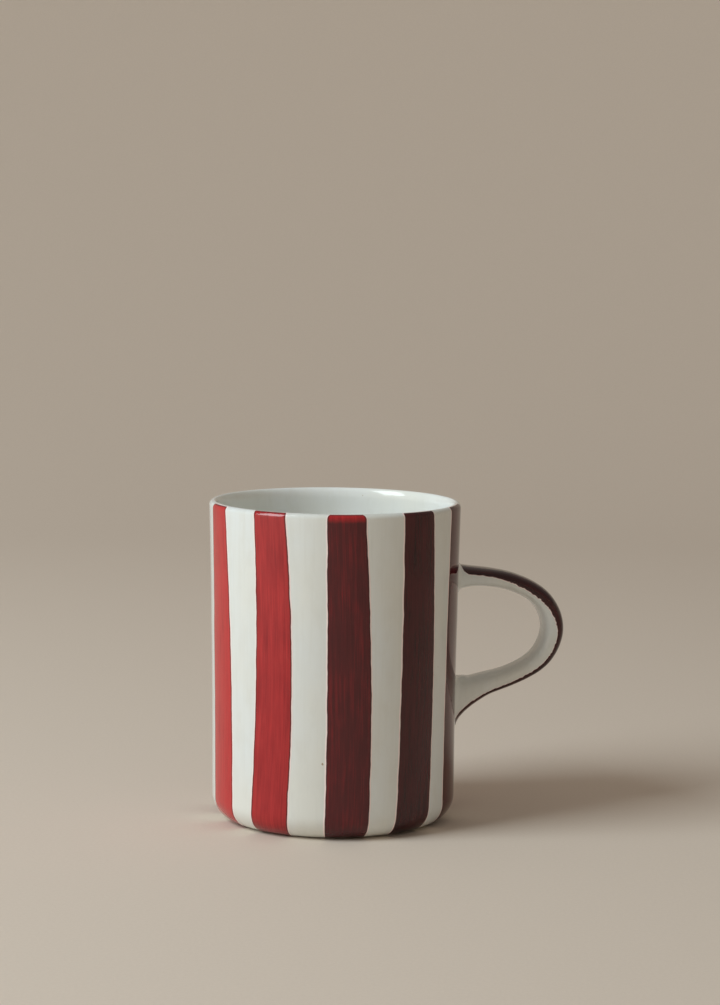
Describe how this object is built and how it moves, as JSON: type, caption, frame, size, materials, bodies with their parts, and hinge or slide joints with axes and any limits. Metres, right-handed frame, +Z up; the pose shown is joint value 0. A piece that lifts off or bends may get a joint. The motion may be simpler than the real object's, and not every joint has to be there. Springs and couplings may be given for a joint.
{
  "type": "mug",
  "caption": "Straight-sided stoneware mug with a pulled loop handle, a flat base and painted vertical stripes, for holding a hot drink.",
  "frame": {"origin": "centre of the flat base, on the cup's axis, at the plane that the mug rests on", "axes": "+Z up along the cup's axis, +X out through the middle of the handle, +Y across the handle"},
  "size_m": [0.1154, 0.0812, 0.103],
  "materials": {
    "white_glaze": "gloss",
    "red_paint": "gloss"
  },
  "bodies": {
    "root": {"cup_body": "white_glaze", "handle": "white_glaze", "upper_joint": "white_glaze", "lower_joint": "white_glaze", "handle_stripe": "red_paint", "stripe_01": "red_paint", "stripe_02": "red_paint", "stripe_03": "red_paint", "stripe_04": "red_paint", "stripe_05": "red_paint", "stripe_06": "red_paint", "stripe_07": "red_paint", "stripe_08": "red_paint", "stripe_09": "red_paint", "stripe_10": "red_paint"}
  },
  "joints": []
}
